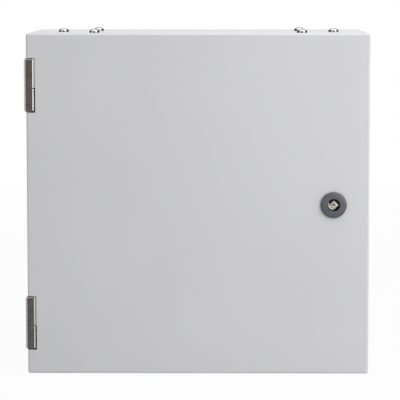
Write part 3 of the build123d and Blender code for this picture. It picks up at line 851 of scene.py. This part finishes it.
class CabinetLooks(bpy.types.PropertyGroup):
    """Colours, pattern sizes and studio values of the cabinet."""

    paint_light: StringProperty(
        name="Paint, light", description="Lighter tone of the powder coat, sRGB hex", default="#CBCBCD")
    paint_shade: StringProperty(
        name="Paint, dark", description="Darker tone of the powder coat, sRGB hex", default="#C8C8CB")
    peel_mm: FloatProperty(
        name="Orange peel", default=2.4,
        description="Size of the powder coat's waves in mm, drawn twice as coarse as real")
    hinge_dark: StringProperty(
        name="Hinge, dark", description="Darker tone of the phosphated hinges, sRGB hex", default="#4F4945")
    hinge_mid: StringProperty(
        name="Hinge, lighter", description="Lighter tone of the phosphated hinges, sRGB hex",
        default="#605A57")
    # Colour of the painted shade in a line beside the hinges' worn edges
    hinge_edge_shade: StringProperty(
        name="Hinge, edge line", description="Darkening beside the worn edges, sRGB hex", default="#B4B0AC")
    # Colour of the wear and painted highlight on the hinges' edges and leaves
    hinge_wear_and_highlight: StringProperty(
        name="Hinge, worn", description="Bright metal on the worn edges, sRGB hex", default="#ACA9A6")
    hinge_width: FloatProperty(
        name="Hinge width", description="Of the hinge's knuckles in mm", default=11.9)
    hinge_front: FloatProperty(
        name="Hinge front", description="Width of the knuckles' flat front in mm", default=7.0)
    # How bright the end and split bevels get as wear and painted highlight
    end_wear_and_highlight: FloatProperty(
        name="Wear of the ends", description="How bright the hinges' end and split bevels are worn",
        default=0.45, subtype="FACTOR")
    # Colour of the painted shade and painted dark reflections on the roof screws' heads
    grime: StringProperty(
        name="Grime", description="Road grime on the roof screws, sRGB hex", default="#3A3C42")
    post_dull: StringProperty(
        name="Key post, darker", description="Darker tone of the post's worn face, sRGB hex",
        default="#968B85")
    post_face: StringProperty(
        name="Key post, lighter", description="Lighter tone of the post's worn face, sRGB hex",
        default="#AFA59F")
    # Colour of the painted shade in the key well
    well_shade: StringProperty(
        name="Grease", description="Old grease in the key well, sRGB hex", default="#35322F")
    # Share of the painted shade that the post's small hole gets
    hole_shade: FloatProperty(
        name="Grease in the hole", description="How much grease the post's small hole holds", default=0.6,
        subtype="FACTOR")
    lock_dark: StringProperty(
        name="Lock, dark", description="Darker tone of the lock head, sRGB hex", default="#46484D")
    lock_light: StringProperty(
        name="Lock, light", description="Lighter tone of the lock head, sRGB hex", default="#4E5055")
    spangle_mm: FloatProperty(
        name="Spangle", description="Size of the zinc crystals on galvanised sheet in mm", default=9.0)
    foam_cell_mm: FloatProperty(
        name="Foam cell", description="Size of the gasket's bubbles in mm", default=1.1)
    roof_head_radius: FloatProperty(
        name="Roof head radius", description="Of the roof screws' heads in mm", default=6.0)
    well_radius: FloatProperty(
        name="Well radius", description="Of the lock's key well in mm", default=7.25)
    well_depth: FloatProperty(
        name="Well depth", description="Of the lock's key well in mm", default=11.0)
    post_side: FloatProperty(
        name="Key post side", description="Across the flats of the square post in mm", default=8.0)
    post_length: FloatProperty(
        name="Key post length", description="Of the square post above its flange in mm", default=7.9)
    flange_radius: FloatProperty(
        name="Flange radius", description="Of the flange under the key post in mm", default=6.95)
    flange_height: FloatProperty(
        name="Flange height", description="Of the flange under the key post in mm", default=2.0)
    gasket_width: FloatProperty(
        name="Gasket width", description="Of the foam ring in mm", default=10.0)
    gasket_corner: FloatProperty(
        name="Gasket corner", description="Outer corner radius of the foam ring in mm", default=11.0)
    floor_colour: StringProperty(
        name="Floor", description="Colour of the floor where it is lit, sRGB hex", default="#D0D0D0")
    floor_size: FloatProperty(
        name="Floor size", description="Side of the floor", default=40.0, unit="LENGTH")
    shadow_share: FloatProperty(
        name="Shadow", description="How much of the floor's own light and shadow the camera sees",
        default=0.06, subtype="FACTOR")
    key: FloatProperty(name="Key", description="Power of the key soft box in watts", default=30.6)
    fill: FloatProperty(name="Fill", description="Power of the left soft box in watts", default=5.6)
    side: FloatProperty(name="Side", description="Power of the right soft box in watts", default=1.5)
    top: FloatProperty(name="Top", description="Power of the soft box above in watts", default=41.5)
    ambient: FloatProperty(name="Ambient", description="Strength of the even light", default=0.25)
    ambient_colour: FloatVectorProperty(
        name="Ambient colour", description="Colour of the even light", default=(0.97, 0.98, 1.0),
        subtype="COLOR")
    camera_distance: FloatProperty(
        name="Camera distance", description="From the lens to the front of the door", default=2.4,
        unit="LENGTH")
    camera_height: FloatProperty(
        name="Camera height", description="Of the lens above the middle of the door", default=0.2584,
        unit="LENGTH")
    camera_x: FloatProperty(
        name="Camera side", description="Of the lens from the middle of the door", default=0.0239,
        unit="LENGTH")
    camera_pitch: FloatProperty(
        name="Camera pitch", description="How far the camera looks down", default=math.radians(5.455),
        subtype="ANGLE")
    camera_turn: FloatProperty(
        name="Camera turn", description="How far the camera looks to the left", default=math.radians(0.517),
        subtype="ANGLE")
    camera_lens: FloatProperty(name="Lens", description="Focal length in mm", default=186.05)
    camera_shift: FloatProperty(name="Shift", description="Vertical shift of the lens", default=-0.05)


# Operators, one for each piece or group of like pieces


class CABINET_OT_painted_sheet(bpy.types.Operator):
    """Powder-coat the shell and the door"""

    bl_idname = "cabinet.painted_sheet"
    bl_label = "Painted sheet"

    def execute(self, context):
        paint_nodes(("body_shell", "door_panel"))
        return {"FINISHED"}


class CABINET_OT_hinges(bpy.types.Operator):
    """Finish the halves, pins and washers of the lift-off hinges"""

    bl_idname = "cabinet.hinges"
    bl_label = "Hinges"

    def execute(self, context):
        paint_nodes((
            "upper_hinge_door_half", "upper_hinge_shell_half", "lower_hinge_door_half",
            "lower_hinge_shell_half", "upper_hinge_pin", "lower_hinge_pin", "hinge_washers",
            "door_hinge_nuts",
        ))
        return {"FINISHED"}


class CABINET_OT_inner_fittings(bpy.types.Operator):
    """Finish the plates, nuts, washers and rubber parts that the door hides"""

    bl_idname = "cabinet.inner_fittings"
    bl_label = "Inner fittings"

    def execute(self, context):
        paint_nodes((
            "mounting_plate", "plate_washers", "plate_nuts", "entry_plate", "entry_gasket",
            "entry_washers", "entry_nuts", "roof_plates", "roof_nuts", "lock_seal", "lock_nut",
            "lock_cam", "cam_washer", "shell_earth_washer", "shell_earth_nut", "door_earth_washer",
            "door_earth_nut",
        ))
        return {"FINISHED"}


class CABINET_OT_roof_screws(bpy.types.Operator):
    """Model the six pan-head screws on the roof"""

    bl_idname = "cabinet.roof_screws"
    bl_label = "Roof screws"

    def execute(self, context):
        settings = context.scene.cabinet_looks
        height = (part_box("roof_screws")[1].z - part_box("body_shell")[1].z) / MM
        # The roof screws' heads get painted shade and painted dark reflections
        place_screws("roof_screws", UP, M6, (settings.roof_head_radius, height), with_painted_shade=True)
        return {"FINISHED"}


class CABINET_OT_inner_screws(bpy.types.Operator):
    """Model the screws of the hinges and of the cam"""

    bl_idname = "cabinet.inner_screws"
    bl_label = "Inner screws"

    def execute(self, context):
        place_screws("hinge_screws", REAR, M5, HINGE_SCREW_HEAD)
        place_screws("cam_screw", REAR, M6, CAM_SCREW_HEAD)
        return {"FINISHED"}


class CABINET_OT_studs(bpy.types.Operator):
    """Model the threaded weld studs of the plates, the earth points and the hinges"""

    bl_idname = "cabinet.studs"
    bl_label = "Weld studs"

    def execute(self, context):
        standoff = (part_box("mounting_plate")[1].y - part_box("plate_studs")[1].y) / -MM
        place_studs("plate_studs", FRONT, M8, collar=(COLLAR_RADIUS, standoff))
        place_studs("entry_studs", UP, M5)
        place_studs("door_hinge_studs", REAR, M5)
        place_studs("shell_earth_stud", RIGHT, M6)
        place_studs("door_earth_stud", REAR, M6)
        return {"FINISHED"}


class CABINET_OT_lock_head(bpy.types.Operator):
    """Model the lock head: rosette, key well and threaded barrel with two flats"""

    bl_idname = "cabinet.lock_head"
    bl_label = "Lock head"

    def execute(self, context):
        settings = context.scene.cabinet_looks
        low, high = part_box("lock_housing")
        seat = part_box("lock_seal")[0].y
        height = (seat - low.y) / MM
        tail = (seat - high.y) / MM
        rim_radius = (high.x - low.x) / MM / 2
        well = settings.well_radius
        floor = height - settings.well_depth

        rim_height = 0.9
        fullness = 0.8
        brow_radius, brow_height = well + 0.9, height - 0.07
        rings = [(rim_radius, 0)]
        for turn in range(0, 91, 6):
            angle = math.radians(turn)
            radius = brow_radius + (rim_radius - brow_radius) * math.cos(angle)
            rings.append((radius, rim_height + (brow_height - rim_height) * math.sin(angle) ** fullness))
        lip = (well + 0.35, height - 0.12)
        mouth = (well, height - 0.5)
        rings += [lip, mouth]

        edge = 0.3
        bore = 5.05
        bore_mouth = 5.3
        rings += [(well, floor + edge), (well - edge, floor)]
        rings += [(bore_mouth, floor), (bore, floor - edge), (bore, tail)]

        root = BARREL_THREAD[0] - THREAD_DEPTH * BARREL_THREAD[1]
        tail_edge = 0.4
        thread_start = tail + 0.5
        thread_end = -2.5
        rings += [(root - edge, tail), (root, tail + tail_edge)]
        rings += thread(BARREL_THREAD, thread_start, thread_end)
        rings += [(root, -edge), (root, 0), (rim_radius, 0)]
        head = turned("lock_head", rings, sides=96, closed=True)

        across_flats = 20
        cut_width = 24
        cut_depth = 2
        overrun = 0.01
        cut_size = (cut_width, cut_depth, -tail - edge)
        for sign in (-1, 1):
            middle = (0, sign * (across_flats + cut_depth) / 2, (tail - edge) / 2 - overrun)
            combine(head, bar("flat", cut_size, middle), "DIFFERENCE")
        smooth(head)
        low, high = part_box("lock_seal")
        settle(head, ((low.x + high.x) / 2, seat, (low.z + high.z) / 2), FRONT)
        hand_over(head, "lock_housing", "door")
        return {"FINISHED"}


class CABINET_OT_key_post(bpy.types.Operator):
    """Model the spindle with its flange, square key post and cam seat"""

    bl_idname = "cabinet.key_post"
    bl_label = "Key post"

    def execute(self, context):
        settings = context.scene.cabinet_looks
        low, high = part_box("lock_spindle")
        length = (high.y - low.y) / MM
        cam_low, cam_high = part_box("lock_cam")
        seat_end = (cam_high.y - cam_low.y) / MM
        flange_high = length - settings.post_length
        flange_low = flange_high - settings.flange_height

        shaft = 5.0
        shaft_edge = 0.3
        flange = settings.flange_radius
        flange_edge = 0.2
        flange_side = 0.5
        flange_bevel = 0.9
        rings = [(shaft - shaft_edge, seat_end), (shaft, seat_end + shaft_edge), (shaft, flange_low)]
        rings += [(flange - flange_edge, flange_low), (flange, flange_low + flange_edge)]
        rings += [(flange, flange_low + flange_side), (flange - flange_bevel, flange_high)]
        post = turned("key_post", rings, sides=64)

        overlap = 1
        key_side = settings.post_side
        key_edge = 0.55
        key_length = settings.post_length + overlap
        key = bar("key", (key_side, key_side, key_length), (0, 0, length - key_length / 2))
        soften(key, key_edge, segments=3)
        key.rotation_euler = (0, 0, math.radians(45))
        choose(key)
        bpy.ops.object.transform_apply()
        combine(post, key, "UNION")

        seat_side = 7.5
        seat_edge = 0.3
        seat_length = seat_end + overlap
        seat = bar("seat", (seat_side, seat_side, seat_length), (0, 0, seat_length / 2))
        soften(seat, seat_edge)
        combine(post, seat, "UNION")

        hole_radius = 1.5
        hole_tip = (0.3, length - 5.4)
        hole_low = length - 4.6
        countersink_low = length - 0.5
        countersink_high = (2.2, length + 0.2)
        rings = [hole_tip, (hole_radius, hole_low), (hole_radius, countersink_low), countersink_high]
        combine(post, turned("hole", rings, sides=32), "DIFFERENCE")
        smooth(post)
        settle(post, ((low.x + high.x) / 2, high.y, (low.z + high.z) / 2), FRONT)
        hand_over(post, "lock_spindle", "lock_core")
        return {"FINISHED"}


class CABINET_OT_gasket(bpy.types.Operator):
    """Model the foam ring in the door, with its domed face"""

    bl_idname = "cabinet.gasket"
    bl_label = "Foam gasket"

    def execute(self, context):
        settings = context.scene.cabinet_looks
        low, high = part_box("door_gasket")
        thickness = high.y - low.y
        corner_steps = 8
        dome_steps = 5
        dome_share = 0.8
        wall_limit = 0.5
        deselect()
        bpy.ops.mesh.primitive_plane_add(size=1)
        ring = context.object
        ring.name = "foam_gasket"
        ring.scale = (high.x - low.x, high.z - low.z, 1)
        bpy.ops.object.transform_apply()
        bpy.ops.object.mode_set(mode="EDIT")
        bpy.ops.mesh.select_mode(type="VERT")
        bpy.ops.mesh.select_all(action="SELECT")
        bpy.ops.mesh.bevel(offset=settings.gasket_corner * MM, segments=corner_steps, affect="VERTICES")
        bpy.ops.mesh.select_all(action="SELECT")
        bpy.ops.mesh.inset(thickness=settings.gasket_width * MM, depth=0)
        bpy.ops.mesh.delete(type="FACE")
        bpy.ops.mesh.select_all(action="SELECT")
        bpy.ops.mesh.extrude_region_move(TRANSFORM_OT_translate={"value": (0, 0, thickness)})

        def on_upper_rim(edge):
            """Whether an edge runs between the upper face and a wall."""
            upper = all(vertex.co.z > thickness / 2 for vertex in edge.verts)
            return upper and not edge.is_wire and min(face.normal.z for face in edge.link_faces) < wall_limit

        pick("EDGE", on_upper_rim)
        bpy.ops.mesh.bevel(offset=dome_share * thickness, segments=dome_steps, affect="EDGES")
        bpy.ops.mesh.select_all(action="SELECT")
        bpy.ops.mesh.normals_make_consistent(inside=False)
        bpy.ops.object.mode_set(mode="OBJECT")
        smooth(ring)
        settle(ring, ((low.x + high.x) / 2, low.y, (low.z + high.z) / 2), REAR)
        hand_over(ring, "door_gasket", "door")
        return {"FINISHED"}


class CABINET_OT_stage(bpy.types.Operator):
    """Make the floor, the surroundings, the soft boxes and the camera"""

    bl_idname = "cabinet.stage"
    bl_label = "Stage"

    def execute(self, context):
        settings = context.scene.cabinet_looks
        deselect()
        add_floor(settings)
        set_world(settings)
        for name, place, size in SOFT_BOXES:
            add_lamp(f"{name}_soft_box", place, size, getattr(settings, name))
        add_camera(settings)
        bpy.context.scene.view_settings.view_transform = "Standard"
        return {"FINISHED"}


class CABINET_PT_looks(bpy.types.Panel):
    """The cabinet's settings and pieces in the sidebar."""

    bl_label = "Utility cabinet"
    bl_idname = "CABINET_PT_looks"
    bl_space_type = "VIEW_3D"
    bl_region_type = "UI"
    bl_category = "Cabinet"

    def draw(self, context):
        settings = context.scene.cabinet_looks
        for name in CabinetLooks.__annotations__:
            self.layout.prop(settings, name)
        for operator in OPERATORS:
            self.layout.operator(operator.bl_idname)


OPERATORS = (
    CABINET_OT_painted_sheet,
    CABINET_OT_hinges,
    CABINET_OT_inner_fittings,
    CABINET_OT_roof_screws,
    CABINET_OT_inner_screws,
    CABINET_OT_studs,
    CABINET_OT_lock_head,
    CABINET_OT_key_post,
    CABINET_OT_gasket,
    CABINET_OT_stage,
)
CLASSES = (CabinetLooks, *OPERATORS, CABINET_PT_looks)


def register():
    for cls in CLASSES:
        bpy.utils.register_class(cls)
    bpy.types.Scene.cabinet_looks = PointerProperty(type=CabinetLooks)


def unregister():
    del bpy.types.Scene.cabinet_looks
    for cls in reversed(CLASSES):
        bpy.utils.unregister_class(cls)


def main():
    """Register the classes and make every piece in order."""
    register()
    bpy.ops.cabinet.painted_sheet()
    bpy.ops.cabinet.hinges()
    bpy.ops.cabinet.inner_fittings()
    bpy.ops.cabinet.roof_screws()
    bpy.ops.cabinet.inner_screws()
    bpy.ops.cabinet.studs()
    bpy.ops.cabinet.lock_head()
    bpy.ops.cabinet.key_post()
    bpy.ops.cabinet.gasket()
    bpy.ops.cabinet.stage()


if __name__ == "__main__":
    main()
